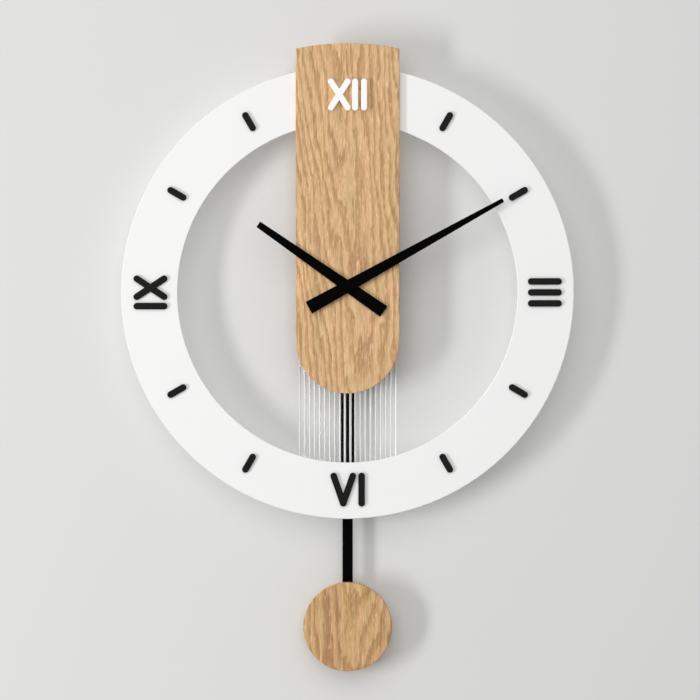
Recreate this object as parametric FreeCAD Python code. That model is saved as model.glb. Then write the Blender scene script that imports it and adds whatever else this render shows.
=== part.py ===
import FreeCAD
import Part
import math
import os
from FreeCAD import Vector

# A pendulum wall clock. A white ring dial sits in the back of an oak board, with a clear reeded strip behind
# both, black hands in front and an oak bob on a black strip below. A quartz movement behind the board turns
# the hands and swings the pendulum.
# Lengths are in millimetres and angles in degrees. X runs to the right and Z up. The wall is the plane Y = 0,
# and distances off the wall run forward, along -Y. The origin is the middle of the hanging eye, on the wall.

# Ring dial
ring_diameter = 380.0
ring_band_width = 47.2
ring_thickness = 5.0
ring_edge_round = 0.6
housing_clearance = 0.2

# Oak board
board_width = 86.9
board_rise_over_ring = 18.9
board_foot_below_ring_centre = 84.7
board_thickness = 9.2
board_edge_round = 0.8
board_shaft_hole_radius = 3.6
nut_pocket_radius = 11.0
nut_pocket_depth = 5.4

# Reeded strip
panel_width = 85.0
panel_thickness = 3.8
reed_count = 19
reed_pitch = 4.25
reed_height = 1.4
panel_end_inset = 7.0
panel_hole_clearance = 0.2

# Numerals and hour marks
stroke_width = 5.5
black_relief = 2.2
white_relief = 3.5
relief_edge_cut = 0.4
mark_inset_from_ring_edge = 24.6
mark_length = 17.6
glyph_height = 28.4
three_bar_pitch = 9.2
six_v_spread = 16.0
six_v_to_bar = 7.4
nine_bar_to_x = 7.9
nine_x_spread = 15.1
twelve_stroke_width = 5.1
twelve_height = 26.9
twelve_x_spread = 14.0
twelve_x_to_bar = 6.2
twelve_bar_pitch = 7.5
twelve_inset_from_ring_edge = 24.4

# Hands
hands_axis_above_ring_centre = 5.0
hand_thickness = 0.6
minute_hand_reach = 148.8
minute_hand_tail = 37.1
minute_hand_tail_width = 11.3
minute_hand_tip_width = 3.6
minute_hand_angle = 61.0
hour_hand_reach = 91.1
hour_hand_tail = 37.0
hour_hand_tail_width = 10.9
hour_hand_tip_width = 5.6
hour_hand_angle = 304.8
minute_hand_clearance_over_twelve = 0.5
hour_hand_clearance_over_board = 1.4
hour_bush_radius = 4.0
hour_bush_neck_radius = 3.2
hour_bush_gap_to_board = 0.6
minute_bush_radius = 2.8
minute_bush_length = 1.3
pipe_end_proud = 0.3
arbor_end_depth_in_bush = 1.0

# Movement case
case_width = 58.0
case_above_hands_axis = 38.0
case_below_hands_axis = 76.0
case_corner_radius = 4.0
movement_depth = 17.0
case_side_wall = 1.6
case_front_wall = 1.5
cover_thickness = 1.4
boss_radius = 2.4
top_boss_across = 16.0
top_boss_below_case_top = 4.5
foot_boss_across = 23.6
foot_boss_above_case_foot = 5.4
pad_radius = 4.0
pad_across = 14.0

# Hanging plate
hanger_thickness = 1.0
hanger_width = 44.0
hanger_lap = 9.0
hanger_tongue_radius = 9.0
eye_above_case_top = 9.0
eye_radius = 3.5

# Threaded bushing, nut and washer
bushing_radius = 4.0
bushing_root_radius = 4.6
bushing_length = 8.6
washer_radius = 9.5
washer_thickness = 0.8
nut_across_flats = 13.0
nut_thickness = 3.0
thread_clearance = 0.05

# Running fits
running_clearance = 0.06
end_gap = 0.3
layer_gap = 0.5
bearing_depth = 0.8
bearing_end_gap = 0.2
pivot_proud = 0.2

# Wheels, pinions and arbors
wheel_thickness = 0.9
pinion_overlap = 0.2
train_arbor_radius = 0.5
motion_arbor_radius = 0.7
hour_pipe_radius = 2.65
hour_pipe_bore_radius = 1.74
minute_arbor_radius = 1.68
clutch_arbor_radius = 1.2
centre_pivot_radius = 0.8
clutch_spring_radius = 3.6
clutch_spring_thickness = 0.35
knob_shaft_radius = 1.2
clutch_hub_wall = 0.8

hour_stage_module = 0.44
hour_wheel_teeth = 48
motion_pinion_teeth = 12
minute_stage_module = 0.55
motion_wheel_teeth = 36
cannon_pinion_teeth = 12
knob_pinion_teeth = 12
centre_stage_module = 0.35
centre_wheel_teeth = 64
third_pinion_teeth = 8
third_wheel_teeth = 60
second_pinion_teeth = 8
second_stage_module = 0.3
second_wheel_teeth = 40
step_pinion_teeth = 8
rotor_stage_module = 0.25
step_wheel_teeth = 48
rotor_pinion_teeth = 8

motion_wheel_bearing = 90.0
third_wheel_bearing = 180.0
second_wheel_bearing = 90.0
step_wheel_bearing = 120.0
rotor_bearing = 30.0
knob_bearing = -20.0

# Tooth shapes, as shares of the module and of the tooth's half thickness at the pitch circle
tooth_head_share = 0.8
tooth_foot_share = 1.1
wheel_tooth_shares = {"half": 0.22, "tip": 0.62, "root": 1.45}
pinion_tooth_shares = {"half": 0.21, "tip": 0.6, "root": 0.75}

# Step motor
magnet_radius = 3.0
magnet_length = 3.0
magnet_gap_to_second_wheel = 0.2
stator_bore_gap = 0.4
stator_pole_wall = 2.0
stator_thickness = 1.2
stator_arm_width = 2.4
stator_end_width = 3.0
stator_slot_width = 0.5
coil_above_rotor = 6.0
stator_foot_below_rotor = 4.0
stator_right_reach = 25.5
bobbin_barrel_radius = 1.9
bobbin_flange_radius = 3.2
bobbin_flange_thickness = 0.7
bobbin_clearance = 0.05
winding_radius = 2.9
bobbin_to_rotor_pole = 2.5
bobbin_to_end_arm = 1.0

# Train plate, its posts and screws
plate_thickness = 1.2
plate_gap_to_rotor_pinion = 0.5
plate_side_gap = 0.6
plate_top_above_hands_axis = 29.0
plate_foot_below_hands_axis = 14.8
post_radius = 2.0
post_inset = 2.6
upper_right_post_height = 14.2
peg_radius = 1.2

# Circuit board on the train plate
circuit_thickness = 0.8
circuit_gap_to_plate = 1.0
circuit_height = 11.5
circuit_above_hands_axis = 19.0
circuit_side_gap = 1.4
chip_radius = 3.0
chip_height = 0.9
crystal_radius = 0.7
crystal_length = 6.0

# Battery and its contacts
battery_radius = 7.25
battery_length = 49.0
battery_nub_radius = 2.75
battery_nub_length = 1.5
battery_edge_round = 0.5
battery_gap = 0.3
bay_rib_thickness = 1.2
bay_top_below_hands_axis = 15.8
contact_thickness = 0.4
contact_width = 9.0
contact_height = 11.0
bay_window_margin = 1.0

# Pendulum drive
pivot_below_hands_axis = 40.0
pivot_pin_radius = 0.75
pivot_boss_radius = 2.2
pivot_pin_seat_depth = 2.4
arm_hub_radius = 3.2
arm_hub_length = 4.0
arm_half_width = 3.2
arm_thickness = 3.0
arm_foot_below_case = 12.5
swing_angle = 5.0
slot_side_gap = 0.6
arm_slot_back_gap = 1.2
magnet_below_pivot = 20.0
drive_magnet_radius = 4.0
drive_magnet_thickness = 2.0
drive_magnet_proud = 0.3
arm_pocket_wall = 1.2
coil_air_gap = 0.7
drive_winding_radius = 6.8
drive_barrel_radius = 2.3
drive_flange_radius = 7.2
drive_flange_thickness = 0.6
drive_peg_radius = 1.2
drive_circuit_thickness = 0.8
drive_circuit_width = 26.0
drive_circuit_height = 22.0

# Pendulum rod and bob
rod_width = 8.7
rod_thickness = 1.5
rod_top_below_case = 3.5
stud_radius = 1.6
stud_below_case = 8.0
stud_proud = 0.8
stud_clearance = 0.1
bob_diameter = 74.7
bob_thickness = 10.0
bob_edge_round = 0.8
bob_centre_below_ring_centre = 281.0
rod_foot_below_bob_centre = 18.0
groove_clearance = 0.1
bob_screw_spread = 11.0

# Setting knob
knob_radius = 7.0
knob_thickness = 2.2
knob_recess = 0.4
knob_hole_gap = 0.6
knob_grips = 18
knob_grip_radius = 0.7

# Screws
case_screw = {"head_radius": 2.1, "head_height": 0.8, "shank_radius": 0.8, "tip": 0.8}
wood_screw = {"head_radius": 2.7, "head_height": 1.5, "shank_radius": 1.25, "tip": 1.2}
recess_width = 0.6
recess_depth = 0.5
case_screw_length = 9.0
plate_screw_length = 5.0
bob_screw_length = 6.0
board_screw_beside_case = 5.0
board_screw_upper = 62.0
board_screw_lower = 12.0
board_screw_bite = 5.6
ring_screw_across = 30.0
ring_top_screw_bite = 2.6
ring_foot_screw_bite = 3.8

cut_overrun = 2.0
flatness = 0.002

# Heights on the wall, below the hanging eye
case_top = -eye_above_case_top
axis_height = case_top - case_above_hands_axis
ring_height = axis_height - hands_axis_above_ring_centre
case_foot = axis_height - case_below_hands_axis
hands_axis = (0, axis_height)
ring_centre = (0, ring_height)
ring_outer_radius = ring_diameter / 2
ring_inner_radius = ring_outer_radius - ring_band_width
mark_circle_radius = ring_outer_radius - mark_inset_from_ring_edge
twelve_circle_radius = ring_outer_radius - twelve_inset_from_ring_edge
bob_centre = (0, ring_height - bob_centre_below_ring_centre)
bob_radius = bob_diameter / 2

# Distances off the wall, from the wall to the front
cover_back = hanger_thickness
cover_front = cover_back + cover_thickness
case_front = movement_depth
front_inside = case_front - case_front_wall
panel_back = case_front
panel_front = panel_back + panel_thickness
ring_back = panel_front
ring_front = ring_back + ring_thickness
board_back = panel_front
board_front = board_back + board_thickness
twelve_front = board_front + white_relief
hour_hand_back = board_front + hour_hand_clearance_over_board
hour_hand_front = hour_hand_back + hand_thickness
minute_hand_back = twelve_front + minute_hand_clearance_over_twelve
minute_hand_front = minute_hand_back + hand_thickness

hour_wheel_front = front_inside - end_gap
hour_wheel_back = hour_wheel_front - wheel_thickness
motion_wheel_front = hour_wheel_back - layer_gap
motion_wheel_back = motion_wheel_front - wheel_thickness
centre_wheel_front = motion_wheel_back - layer_gap
centre_wheel_back = centre_wheel_front - wheel_thickness
third_wheel_front = centre_wheel_back - layer_gap
third_wheel_back = third_wheel_front - wheel_thickness
second_wheel_front = third_wheel_back - layer_gap
second_wheel_back = second_wheel_front - wheel_thickness
step_wheel_front = second_wheel_back - layer_gap
step_wheel_back = step_wheel_front - wheel_thickness
rotor_pinion_back = step_wheel_back - pinion_overlap
plate_front = rotor_pinion_back - plate_gap_to_rotor_pinion
plate_back = plate_front - plate_thickness
circuit_front = plate_back - circuit_gap_to_plate
circuit_back = circuit_front - circuit_thickness
rear_pivot_end = plate_back - pivot_proud
front_pivot_end = front_inside + bearing_depth - bearing_end_gap
magnet_back = second_wheel_back + magnet_gap_to_second_wheel
stator_back = second_wheel_front + end_gap
stator_front = stator_back + stator_thickness
battery_depth = front_inside - battery_gap - battery_radius

arm_back = stator_back - stator_thickness - layer_gap
arm_front = arm_back + arm_thickness
arm_hub_back = (arm_back + arm_front - arm_hub_length) / 2
arm_hub_front = arm_hub_back + arm_hub_length
rod_back = arm_front
rod_front = rod_back + rod_thickness
bob_back = rod_back
bob_front = bob_back + bob_thickness
drive_magnet_back = arm_back - drive_magnet_proud
drive_circuit_front = cover_front + drive_circuit_thickness
drive_coil_front = drive_magnet_back - coil_air_gap


def at(across, off_wall, height):
    return Vector(across, -off_wall, height)


def disc(centre, radius, back, front):
    return Part.makeCylinder(radius, front - back, at(centre[0], back, centre[1]), Vector(0, -1, 0))


def tube(centre, outer, inner, back, front):
    bore = disc(centre, inner, back - cut_overrun, front + cut_overrun)
    return disc(centre, outer, back, front).cut(bore)


def slab(left, right, low, high, back, front):
    return Part.makeBox(right - left, front - back, high - low, at(left, front, low))


def prism(edges, back, front):
    return Part.Face(Part.Wire(edges)).extrude(Vector(0, back - front, 0))


def line(start, end, off_wall):
    return Part.LineSegment(at(start[0], off_wall, start[1]), at(end[0], off_wall, end[1])).toShape()


def arc(start, middle, end, off_wall):
    points = [at(point[0], off_wall, point[1]) for point in (start, middle, end)]
    return Part.Arc(*points).toShape()


def polygon(points, back, front):
    edges = [line(points[i - 1], points[i], back) for i in range(len(points))]
    return prism(edges, back, front)


def away(start, distance, bearing):
    # The bearing is counted from the right-hand side, anticlockwise as seen from the front
    angle = math.radians(bearing)
    return (start[0] + distance * math.cos(angle), start[1] + distance * math.sin(angle))


def clock_point(centre, radius, hour_angle):
    # The hour angle is counted clockwise from twelve
    return away(centre, radius, 90 - hour_angle)


def rounded_slab(left, right, low, high, radius, back, front):
    edges = []
    corners = [(right - radius, high - radius), (left + radius, high - radius),
               (left + radius, low + radius), (right - radius, low + radius)]
    for i, corner in enumerate(corners):
        begin, middle, end = [away(corner, radius, 90 * i + turn) for turn in (0, 45, 90)]
        edges.append(arc(begin, middle, end, back))
        following = away(corners[(i + 1) % 4], radius, 90 * (i + 1))
        edges.append(line(end, following, back))
    return prism(edges, back, front)


def stroke(start, end, width, back, front):
    # A straight bar with round ends, from one end's centre to the other's
    bearing = math.degrees(math.atan2(end[1] - start[1], end[0] - start[0]))
    half = width / 2
    start_left, start_tip, start_right = [away(start, half, bearing + turn) for turn in (90, 180, 270)]
    end_left, end_tip, end_right = [away(end, half, bearing + turn) for turn in (90, 0, 270)]
    edges = [arc(start_left, start_tip, start_right, back), line(start_right, end_right, back),
             arc(end_right, end_tip, end_left, back), line(end_left, start_left, back)]
    return prism(edges, back, front)


def front_edges(shape, front):
    level = -front
    return [edge for edge in shape.Edges
            if abs(edge.BoundBox.YMin - level) < flatness and abs(edge.BoundBox.YMax - level) < flatness]


def round_front(shape, front, radius):
    return shape.makeFillet(radius, front_edges(shape, front))


def bevel_front(shape, front, size):
    return shape.makeChamfer(size, front_edges(shape, front))


def joined(shapes):
    whole = shapes[0]
    for shape in shapes[1:]:
        whole = whole.fuse(shape)
    return whole.removeSplitter()


def group(shapes):
    return Part.Compound(shapes)


# Toothed wheels

def gear_spacing(module, teeth, other_teeth):
    return module * (teeth + other_teeth) / 2


def meshed_phase(phase, teeth, bearing, other_teeth):
    # The bearing of a tooth on a second wheel, so that its gap faces the first wheel's tooth on the line of
    # centres, which runs along the given bearing from the first wheel to the second
    teeth_past = (bearing - phase) * teeth / 360
    return bearing + 180 + (teeth_past - 0.5) * 360 / other_teeth


def toothed_disc(centre, module, teeth, phase, shares, back, front):
    pitch_radius = module * teeth / 2
    tip_radius = pitch_radius + module * tooth_head_share
    root_radius = pitch_radius - module * tooth_foot_share
    half_thickness = math.pi * module * shares["half"]
    tip_turn = math.degrees(half_thickness * shares["tip"] / tip_radius)
    root_turn = math.degrees(half_thickness * shares["root"] / root_radius)
    points = []
    for tooth in range(teeth):
        middle = phase + 360 * tooth / teeth
        for radius, turn in ((root_radius, -root_turn), (tip_radius, -tip_turn),
                             (tip_radius, tip_turn), (root_radius, root_turn)):
            points.append(away(centre, radius, middle + turn))
    return polygon(points, back, front)


def wheel(centre, module, teeth, phase, back, front):
    return toothed_disc(centre, module, teeth, phase, wheel_tooth_shares, back, front)


def pinion(centre, module, teeth, phase, mate_back, mate_front):
    # A pinion is a little longer than the wheel that it meshes with
    back = mate_back - pinion_overlap
    front = mate_front + pinion_overlap
    return toothed_disc(centre, module, teeth, phase, pinion_tooth_shares, back, front)


# Places of the train's axes, each from the one that it meshes with

motion_axis = away(hands_axis, gear_spacing(minute_stage_module, cannon_pinion_teeth, motion_wheel_teeth),
                   motion_wheel_bearing)
third_axis = away(hands_axis, gear_spacing(centre_stage_module, centre_wheel_teeth, third_pinion_teeth),
                  third_wheel_bearing)
second_axis = away(third_axis, gear_spacing(centre_stage_module, third_wheel_teeth, second_pinion_teeth),
                   second_wheel_bearing)
step_axis = away(second_axis, gear_spacing(second_stage_module, second_wheel_teeth, step_pinion_teeth),
                 step_wheel_bearing)
rotor_axis = away(step_axis, gear_spacing(rotor_stage_module, step_wheel_teeth, rotor_pinion_teeth),
                  rotor_bearing)
knob_axis = away(motion_axis, gear_spacing(minute_stage_module, motion_wheel_teeth, knob_pinion_teeth),
                 knob_bearing)
pivot_axis = (0, axis_height - pivot_below_hands_axis)
drive_axis = (0, pivot_axis[1] - magnet_below_pivot)

cannon_phase = motion_wheel_bearing
motion_wheel_phase = meshed_phase(cannon_phase, cannon_pinion_teeth, motion_wheel_bearing, motion_wheel_teeth)
motion_pinion_phase = motion_wheel_bearing + 180
hour_wheel_phase = meshed_phase(motion_pinion_phase, motion_pinion_teeth, motion_wheel_bearing + 180,
                                hour_wheel_teeth)
knob_phase = meshed_phase(motion_wheel_phase, motion_wheel_teeth, knob_bearing, knob_pinion_teeth)
centre_wheel_phase = third_wheel_bearing
third_pinion_phase = meshed_phase(centre_wheel_phase, centre_wheel_teeth, third_wheel_bearing,
                                  third_pinion_teeth)
third_wheel_phase = second_wheel_bearing
second_pinion_phase = meshed_phase(third_wheel_phase, third_wheel_teeth, second_wheel_bearing,
                                   second_pinion_teeth)
second_wheel_phase = step_wheel_bearing
step_pinion_phase = meshed_phase(second_wheel_phase, second_wheel_teeth, step_wheel_bearing,
                                 step_pinion_teeth)
step_wheel_phase = rotor_bearing
rotor_pinion_phase = meshed_phase(step_wheel_phase, step_wheel_teeth, rotor_bearing, rotor_pinion_teeth)

# Places of the screws, posts and bosses

case_half_width = case_width / 2
inner_half_width = case_half_width - case_side_wall
sides = (-1, 1)
top_bosses = [(side * top_boss_across, case_top - top_boss_below_case_top) for side in sides]
foot_bosses = [(side * foot_boss_across, case_foot + foot_boss_above_case_foot) for side in sides]
post_across = inner_half_width - post_inset
upper_left_post = (-post_across, axis_height + plate_top_above_hands_axis - post_inset)
upper_right_post = (post_across, axis_height + upper_right_post_height)
foot_posts = [(side * post_across, axis_height - plate_foot_below_hands_axis + post_inset) for side in sides]
plate_posts = [upper_left_post, upper_right_post] + foot_posts
board_screw_across = case_width / 2 + board_screw_beside_case
board_screw_places = [(side * board_screw_across, axis_height + height)
                      for height in (board_screw_upper, -board_screw_lower) for side in sides]
band_middle_radius = (ring_outer_radius + ring_inner_radius) / 2
ring_screw_rise = math.sqrt(band_middle_radius ** 2 - ring_screw_across ** 2)
ring_top_places = [(side * ring_screw_across, ring_height + ring_screw_rise) for side in sides]
ring_foot_places = [(side * ring_screw_across, ring_height - ring_screw_rise) for side in sides]
bob_screw_places = [(0, bob_centre[1] + side * bob_screw_spread / 2) for side in sides]
stud_axis = (0, case_foot - stud_below_case)

bay_top = axis_height - bay_top_below_hands_axis
battery_height = bay_top - bay_rib_thickness - battery_gap - battery_radius
bay_foot = battery_height - battery_radius - battery_gap - bay_rib_thickness
battery_left = -(battery_length + battery_nub_length) / 2


# Screws, driven from behind towards the front

def screw_shank(place, seat, length, kind):
    straight = length - kind["tip"]
    tip = Part.makeCone(kind["shank_radius"], 0, kind["tip"], at(place[0], seat + straight, place[1]),
                        Vector(0, -1, 0))
    return joined([disc(place, kind["shank_radius"], seat, seat + straight), tip])


def cross_recessed(shape, place, head_back, kind):
    reach = kind["head_radius"] / 2
    half = recess_width / 2
    for across, high in ((reach, half), (half, reach)):
        shape = shape.cut(slab(place[0] - across, place[0] + across, place[1] - high, place[1] + high,
                               head_back - cut_overrun, head_back + recess_depth))
    return shape


def screw(place, seat, length, kind):
    head_back = seat - kind["head_height"]
    head = disc(place, kind["head_radius"], head_back, seat)
    return cross_recessed(joined([head, screw_shank(place, seat, length, kind)]), place, head_back, kind)


def sunk_head(place, kind):
    # The cone of a countersunk screw whose head is flush with the back of the hanging plate
    return Part.makeCone(kind["head_radius"], kind["shank_radius"], kind["head_height"],
                         at(place[0], 0, place[1]), Vector(0, -1, 0))


def sunk_screw(place, length, kind):
    body = joined([sunk_head(place, kind), screw_shank(place, 0, length, kind)])
    return cross_recessed(body, place, 0, kind)


def screws(places, seat, length, kind):
    return group([screw(place, seat, length, kind) for place in places])


def sunk_screws(places, length, kind):
    return group([sunk_screw(place, length, kind) for place in places])


def bored(shape, places, seat, length, kind):
    # The holes that screws have cut, with the screws' own outline
    for place in places:
        shape = shape.cut(screw_shank(place, seat, length, kind))
    return shape


def cleared(shape, places, radius, back, front):
    for place in places:
        shape = shape.cut(disc(place, radius, back - cut_overrun, front + cut_overrun))
    return shape


board_screw_length = panel_thickness + board_screw_bite
ring_top_screw_length = panel_thickness + ring_thickness + ring_top_screw_bite
ring_foot_screw_length = panel_thickness + ring_foot_screw_bite


# Dial, board and strip

def oak_board():
    half = board_width / 2
    round_height = ring_height - board_foot_below_ring_centre + half
    top_radius = ring_outer_radius + board_rise_over_ring
    corner_height = ring_height + math.sqrt(top_radius ** 2 - half ** 2)
    edges = [arc((-half, round_height), (0, round_height - half), (half, round_height), board_back),
             line((half, round_height), (half, corner_height), board_back),
             arc((half, corner_height), (0, ring_height + top_radius), (-half, corner_height), board_back),
             line((-half, corner_height), (-half, round_height), board_back)]
    board = round_front(prism(edges, board_back, board_front), board_front, board_edge_round)
    # The ring's upper band lies in a curved housing in the board's back
    housing = tube(ring_centre, ring_outer_radius + housing_clearance, ring_inner_radius - housing_clearance,
                   board_back - cut_overrun, ring_front)
    foot = slab(-board_width, board_width, ring_height - ring_diameter, ring_height,
                board_back - cut_overrun, ring_front)
    board = board.cut(housing.cut(foot))
    pocket = disc(hands_axis, nut_pocket_radius, board_back - cut_overrun, board_back + nut_pocket_depth)
    board = board.cut(pocket)
    board = cleared(board, [hands_axis], board_shaft_hole_radius, board_back, board_front)
    board = bored(board, board_screw_places, panel_back, board_screw_length, wood_screw)
    return bored(board, ring_top_places, panel_back, ring_top_screw_length, wood_screw)


def dial_ring():
    ring = tube(ring_centre, ring_outer_radius, ring_inner_radius, ring_back, ring_front)
    ring = round_front(ring, ring_front, ring_edge_round)
    ring = bored(ring, ring_top_places, panel_back, ring_top_screw_length, wood_screw)
    return bored(ring, ring_foot_places, panel_back, ring_foot_screw_length, wood_screw)


def reeded_panel():
    half_length = ring_outer_radius - panel_end_inset
    foot = ring_height - half_length
    half = panel_width / 2
    reeds_half = reed_count * reed_pitch / 2
    valley = panel_back + reed_height
    corners = [at(-reeds_half, valley, foot), at(-half, valley, foot), at(-half, panel_front, foot),
               at(half, panel_front, foot), at(half, valley, foot), at(reeds_half, valley, foot)]
    edges = [Part.LineSegment(start, end).toShape() for start, end in zip(corners, corners[1:])]
    for reed in range(reed_count):
        left = -reeds_half + reed * reed_pitch
        crest = at(left + reed_pitch / 2, panel_back, foot)
        edges.append(Part.Arc(at(left, valley, foot), crest, at(left + reed_pitch, valley, foot)).toShape())
    edges = Part.sortEdges(edges)[0]
    panel = Part.Face(Part.Wire(edges)).extrude(Vector(0, 0, 2 * half_length))
    panel = cleared(panel, [hands_axis], bushing_radius + panel_hole_clearance, panel_back, panel_front)
    places = board_screw_places + ring_top_places + ring_foot_places
    hole_radius = wood_screw["shank_radius"] + panel_hole_clearance
    return cleared(panel, places, hole_radius, panel_back, panel_front)


# Numerals and hour marks. A glyph's places are given across and up from its middle, as the glyph is read.

black_half_run = (glyph_height - stroke_width) / 2
white_half_run = (twelve_height - twelve_stroke_width) / 2


def bar_glyph(across, half_run):
    return [((across, -half_run), (across, half_run))]


def v_glyph(across, spread, half_run):
    half = spread / 2
    foot = (across, -half_run)
    return [((across - half, half_run), foot), (foot, (across + half, half_run))]


def x_glyph(across, spread, half_run):
    half = spread / 2
    return [((across - half, half_run), (across + half, -half_run)),
            ((across - half, -half_run), (across + half, half_run))]


def glyph_solid(lines, centre, turn, width, back, relief):
    front = back + relief
    strokes = []
    for ends in lines:
        placed = [away(away(centre, end[0], turn), end[1], turn + 90) for end in ends]
        strokes.append(stroke(placed[0], placed[1], width, back, front))
    return bevel_front(joined(strokes), front, relief_edge_cut)


def numeral(glyphs, centre, turn, width, back, relief):
    return group([glyph_solid(lines, centre, turn, width, back, relief) for lines in glyphs])


def numeral_xii():
    width = twelve_x_spread + twelve_x_to_bar + twelve_bar_pitch
    x_across = (twelve_x_spread - width) / 2
    first_bar = x_across + twelve_x_spread / 2 + twelve_x_to_bar
    second_bar = first_bar + twelve_bar_pitch
    glyphs = [x_glyph(x_across, twelve_x_spread, white_half_run)]
    glyphs += [bar_glyph(across, white_half_run) for across in (first_bar, second_bar)]
    centre = clock_point(ring_centre, twelve_circle_radius, 0)
    return numeral(glyphs, centre, 0, twelve_stroke_width, board_front, white_relief)


def numeral_iii():
    glyphs = [bar_glyph(step * three_bar_pitch, black_half_run) for step in (-1, 0, 1)]
    centre = clock_point(ring_centre, mark_circle_radius, 90)
    return numeral(glyphs, centre, -90, stroke_width, ring_front, black_relief)


def numeral_vi():
    width = six_v_spread + six_v_to_bar
    v_across = (six_v_spread - width) / 2
    bar_across = v_across + six_v_spread / 2 + six_v_to_bar
    glyphs = [v_glyph(v_across, six_v_spread, black_half_run), bar_glyph(bar_across, black_half_run)]
    centre = clock_point(ring_centre, mark_circle_radius, 180)
    return numeral(glyphs, centre, 0, stroke_width, ring_front, black_relief)


def numeral_ix():
    bar_across = -(nine_bar_to_x + nine_x_spread) / 2
    x_across = bar_across + nine_bar_to_x + nine_x_spread / 2
    glyphs = [bar_glyph(bar_across, black_half_run), x_glyph(x_across, nine_x_spread, black_half_run)]
    centre = clock_point(ring_centre, mark_circle_radius, 270)
    return numeral(glyphs, centre, 90, stroke_width, ring_front, black_relief)


def hour_marks():
    marks = []
    half_run = (mark_length - stroke_width) / 2
    for hour in range(12):
        if hour % 3:
            inner = clock_point(ring_centre, mark_circle_radius - half_run, 30 * hour)
            outer = clock_point(ring_centre, mark_circle_radius + half_run, 30 * hour)
            mark = stroke(inner, outer, stroke_width, ring_front, ring_front + black_relief)
            marks.append(bevel_front(mark, ring_front + black_relief, relief_edge_cut))
    return group(marks)


# Hands

def hand_blade(reach, tail, tail_width, tip_width, hour_angle, back, front):
    tip = clock_point(hands_axis, reach, hour_angle)
    end = clock_point(hands_axis, tail, hour_angle + 180)
    corners = [clock_point(tip, tip_width / 2, hour_angle + turn) for turn in (-90, 90)]
    corners += [clock_point(end, tail_width / 2, hour_angle + turn) for turn in (90, -90)]
    return polygon(corners, back, front)


def hour_hand():
    blade = hand_blade(hour_hand_reach, hour_hand_tail, hour_hand_tail_width, hour_hand_tip_width,
                       hour_hand_angle, hour_hand_back, hour_hand_front)
    return cleared(blade, [hands_axis], hour_bush_neck_radius, hour_hand_back, hour_hand_front)


def hour_hand_bush():
    collar_back = board_front + hour_bush_gap_to_board
    collar = disc(hands_axis, hour_bush_radius, collar_back, hour_hand_back)
    neck = disc(hands_axis, hour_bush_neck_radius, collar_back, hour_hand_front)
    return cleared(joined([collar, neck]), [hands_axis], hour_pipe_radius, collar_back, hour_hand_front)


def minute_hand():
    return hand_blade(minute_hand_reach, minute_hand_tail, minute_hand_tail_width, minute_hand_tip_width,
                      minute_hand_angle, minute_hand_back, minute_hand_front)


def minute_hand_bush():
    back = minute_hand_back - minute_bush_length
    bush = disc(hands_axis, minute_bush_radius, back, minute_hand_back)
    return bush.cut(disc(hands_axis, minute_arbor_radius, back - cut_overrun, back + arbor_end_depth_in_bush))


# Train of wheels

def front_bearing(axis, radius):
    return disc(axis, radius + running_clearance, front_inside - cut_overrun, front_inside + bearing_depth)


def centre_arbor():
    pinion_back = motion_wheel_back
    pinion_front = motion_wheel_front + pinion_overlap
    arbor_front = minute_hand_back - minute_bush_length + arbor_end_depth_in_bush
    teeth = toothed_disc(hands_axis, minute_stage_module, cannon_pinion_teeth, cannon_phase,
                         pinion_tooth_shares, pinion_back, pinion_front)
    pivot = disc(hands_axis, centre_pivot_radius, rear_pivot_end, plate_front + end_gap)
    clutch_seat = disc(hands_axis, clutch_arbor_radius, plate_front + end_gap, pinion_back)
    shaft = disc(hands_axis, minute_arbor_radius, pinion_front, arbor_front)
    return joined([teeth, pivot, clutch_seat, shaft])


def clutch_spring():
    return tube(hands_axis, clutch_spring_radius, clutch_arbor_radius,
                motion_wheel_back - clutch_spring_thickness, motion_wheel_back)


def centre_wheel():
    rim = wheel(hands_axis, centre_stage_module, centre_wheel_teeth, centre_wheel_phase,
                centre_wheel_back, centre_wheel_front)
    hub = disc(hands_axis, clutch_arbor_radius + clutch_hub_wall, centre_wheel_back - layer_gap / 2,
               centre_wheel_front)
    bore_radius = clutch_arbor_radius + running_clearance
    return cleared(joined([rim, hub]), [hands_axis], bore_radius, centre_wheel_back, centre_wheel_front)


def hour_wheel():
    rim = wheel(hands_axis, hour_stage_module, hour_wheel_teeth, hour_wheel_phase,
                hour_wheel_back, hour_wheel_front)
    pipe = disc(hands_axis, hour_pipe_radius, hour_wheel_back, hour_hand_front + pipe_end_proud)
    return cleared(joined([rim, pipe]), [hands_axis], hour_pipe_bore_radius, hour_wheel_back,
                   hour_hand_front + pipe_end_proud)


def motion_wheel():
    rim = wheel(motion_axis, minute_stage_module, motion_wheel_teeth, motion_wheel_phase,
                motion_wheel_back, motion_wheel_front)
    teeth = toothed_disc(motion_axis, hour_stage_module, motion_pinion_teeth, motion_pinion_phase,
                         pinion_tooth_shares, motion_wheel_front, hour_wheel_front)
    arbor = disc(motion_axis, motion_arbor_radius, rear_pivot_end, front_pivot_end)
    return joined([rim, teeth, arbor])


def third_wheel():
    rim = wheel(third_axis, centre_stage_module, third_wheel_teeth, third_wheel_phase,
                third_wheel_back, third_wheel_front)
    teeth = pinion(third_axis, centre_stage_module, third_pinion_teeth, third_pinion_phase,
                   centre_wheel_back, centre_wheel_front)
    arbor = disc(third_axis, train_arbor_radius, rear_pivot_end, front_pivot_end)
    return joined([rim, teeth, arbor])


def second_wheel():
    rim = wheel(second_axis, second_stage_module, second_wheel_teeth, second_wheel_phase,
                second_wheel_back, second_wheel_front)
    teeth = pinion(second_axis, centre_stage_module, second_pinion_teeth, second_pinion_phase,
                   third_wheel_back, third_wheel_front)
    arbor = disc(second_axis, train_arbor_radius, rear_pivot_end, front_pivot_end)
    return joined([rim, teeth, arbor])


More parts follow.
